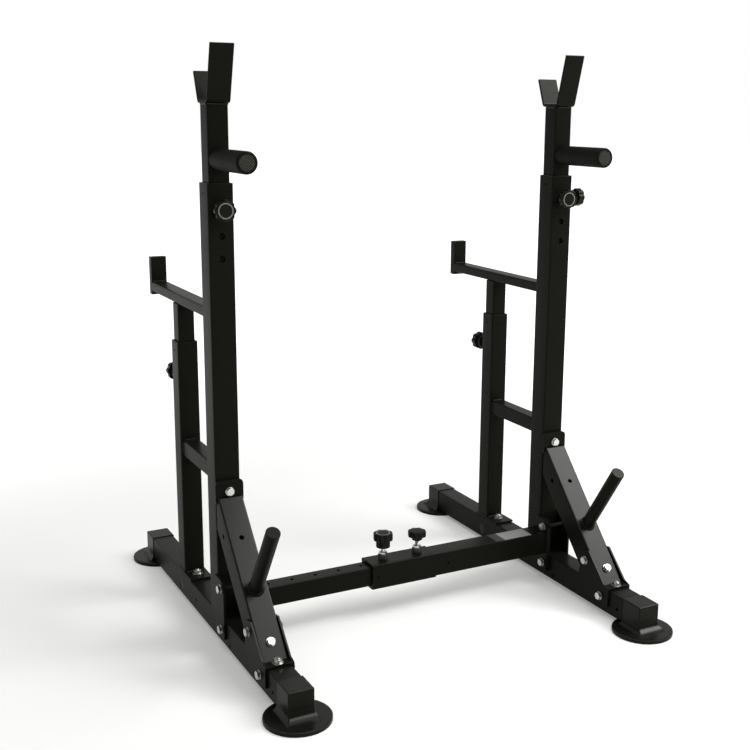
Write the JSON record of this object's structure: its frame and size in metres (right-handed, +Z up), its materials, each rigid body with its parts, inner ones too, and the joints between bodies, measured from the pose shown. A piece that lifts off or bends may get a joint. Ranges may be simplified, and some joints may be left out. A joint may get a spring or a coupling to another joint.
{
  "type": "squat stand",
  "caption": "Pair of telescoping squat stands with bar catches, dip handles, weight pegs and rear spotter arms, joined by a telescoping floor crossbar.",
  "frame": {"origin": "on the floor, under the centre of the bounding box", "axes": "+Z up, X along the crossbar from the left stand to the right stand, and the lifter stands on the -Y side"},
  "size_m": [1.0698, 1.1442, 1.3811],
  "materials": {
    "black_paint": "satin black powder coat over steel tube and plate",
    "zinc_steel": "bright zinc plating",
    "boot_rubber": "moulded matt black rubber",
    "grip_rubber": "matt black rubber with a fine diamond pattern",
    "knob_plastic": "satin black nylon",
    "bush_plastic": "smooth black nylon"
  },
  "bodies": {
    "right_stand": {"right_foot_rail": "black_paint", "right_front_boot": "boot_rubber", "right_rear_boot": "boot_rubber", "right_rail_plug": "bush_plastic", "right_upright": "black_paint", "right_upright_bush": "bush_plastic", "right_rear_post": "black_paint", "right_rear_bush": "bush_plastic", "right_flange_bolt": "zinc_steel", "right_link_tube": "black_paint", "right_brace": "black_paint", "right_saddle_bracket": "black_paint", "right_weight_peg": "black_paint", "right_saddle_upper_bolt": "zinc_steel", "right_saddle_lower_bolt": "zinc_steel", "right_saddle_floor_bolt": "zinc_steel", "right_saddle_face_bolt": "zinc_steel", "right_bracket_bolt": "zinc_steel", "right_upper_clamp_bolt": "zinc_steel", "right_lower_clamp_bolt": "zinc_steel", "crossbar_outer": "black_paint", "crossbar_collar": "black_paint"},
    "left_stand": {"left_foot_rail": "black_paint", "left_front_boot": "boot_rubber", "left_rear_boot": "boot_rubber", "left_rail_plug": "bush_plastic", "left_upright": "black_paint", "left_upright_bush": "bush_plastic", "left_rear_post": "black_paint", "left_rear_bush": "bush_plastic", "left_flange_bolt": "zinc_steel", "left_link_tube": "black_paint", "left_brace": "black_paint", "left_saddle_bracket": "black_paint", "left_weight_peg": "black_paint", "left_saddle_upper_bolt": "zinc_steel", "left_saddle_lower_bolt": "zinc_steel", "left_saddle_floor_bolt": "zinc_steel", "left_saddle_face_bolt": "zinc_steel", "left_bracket_bolt": "zinc_steel", "left_upper_clamp_bolt": "zinc_steel", "left_lower_clamp_bolt": "zinc_steel", "crossbar_inner": "black_paint"},
    "left_rest": {"left_inner_upright": "black_paint", "left_bar_catch": "black_paint", "left_handle_grip": "grip_rubber"},
    "right_rest": {"right_inner_upright": "black_paint", "right_bar_catch": "black_paint", "right_handle_grip": "grip_rubber"},
    "left_spotter": {"left_inner_post": "black_paint", "left_spotter_arm": "black_paint"},
    "right_spotter": {"right_inner_post": "black_paint", "right_spotter_arm": "black_paint"},
    "left_upright_plunger": {"left_upright_plunger": "knob_plastic"},
    "right_upright_plunger": {"right_upright_plunger": "knob_plastic"},
    "left_rear_plunger": {"left_rear_plunger": "knob_plastic"},
    "right_rear_plunger": {"right_rear_plunger": "knob_plastic"},
    "crossbar_plunger": {"crossbar_plunger": "knob_plastic"},
    "right_clamp_screw": {"right_clamp_knob": "knob_plastic"},
    "crossbar_clamp_screw": {"crossbar_clamp_knob": "knob_plastic"}
  },
  "joints": [
    {"name": "width_slide", "type": "slide", "parent": "right_stand", "child": "left_stand", "axis": [1, 0, 0], "range_m": [-0.062, 0.31]},
    {"name": "left_height_slide", "type": "slide", "parent": "left_stand", "child": "left_rest", "axis": [0, 0, 1], "range_m": [-0.025, 0.35]},
    {"name": "right_height_slide", "type": "slide", "parent": "right_stand", "child": "right_rest", "axis": [0, 0, 1], "range_m": [-0.025, 0.35]},
    {"name": "left_spotter_slide", "type": "slide", "parent": "left_stand", "child": "left_spotter", "axis": [0, 0, 1], "range_m": [-0.05, 0.25]},
    {"name": "right_spotter_slide", "type": "slide", "parent": "right_stand", "child": "right_spotter", "axis": [0, 0, 1], "range_m": [-0.05, 0.25]},
    {"name": "left_upright_pull", "type": "slide", "parent": "left_stand", "child": "left_upright_plunger", "axis": [0, -1, 0], "range_m": [0, 0.01], "stiffness_N_per_m": 800, "springref_m": -0.005},
    {"name": "right_upright_pull", "type": "slide", "parent": "right_stand", "child": "right_upright_plunger", "axis": [0, -1, 0], "range_m": [0, 0.01], "stiffness_N_per_m": 800, "springref_m": -0.005},
    {"name": "left_rear_pull", "type": "slide", "parent": "left_stand", "child": "left_rear_plunger", "axis": [0, 1, 0], "range_m": [0, 0.01], "stiffness_N_per_m": 800, "springref_m": -0.005},
    {"name": "right_rear_pull", "type": "slide", "parent": "right_stand", "child": "right_rear_plunger", "axis": [0, 1, 0], "range_m": [0, 0.01], "stiffness_N_per_m": 800, "springref_m": -0.005},
    {"name": "crossbar_pull", "type": "slide", "parent": "right_stand", "child": "crossbar_plunger", "axis": [0, 0, 1], "range_m": [0, 0.012], "stiffness_N_per_m": 800, "springref_m": -0.005},
    {"name": "right_clamp_turn", "type": "hinge", "parent": "right_stand", "child": "right_clamp_screw", "pos_m": [0.48485, -0.0655, 1.027], "axis": [1, 0, 0], "continuous": true},
    {"name": "crossbar_clamp_turn", "type": "hinge", "parent": "right_stand", "child": "crossbar_clamp_screw", "pos_m": [0.03535, -0.1075, 0.142], "axis": [0, 0, 1], "continuous": true}
  ]
}
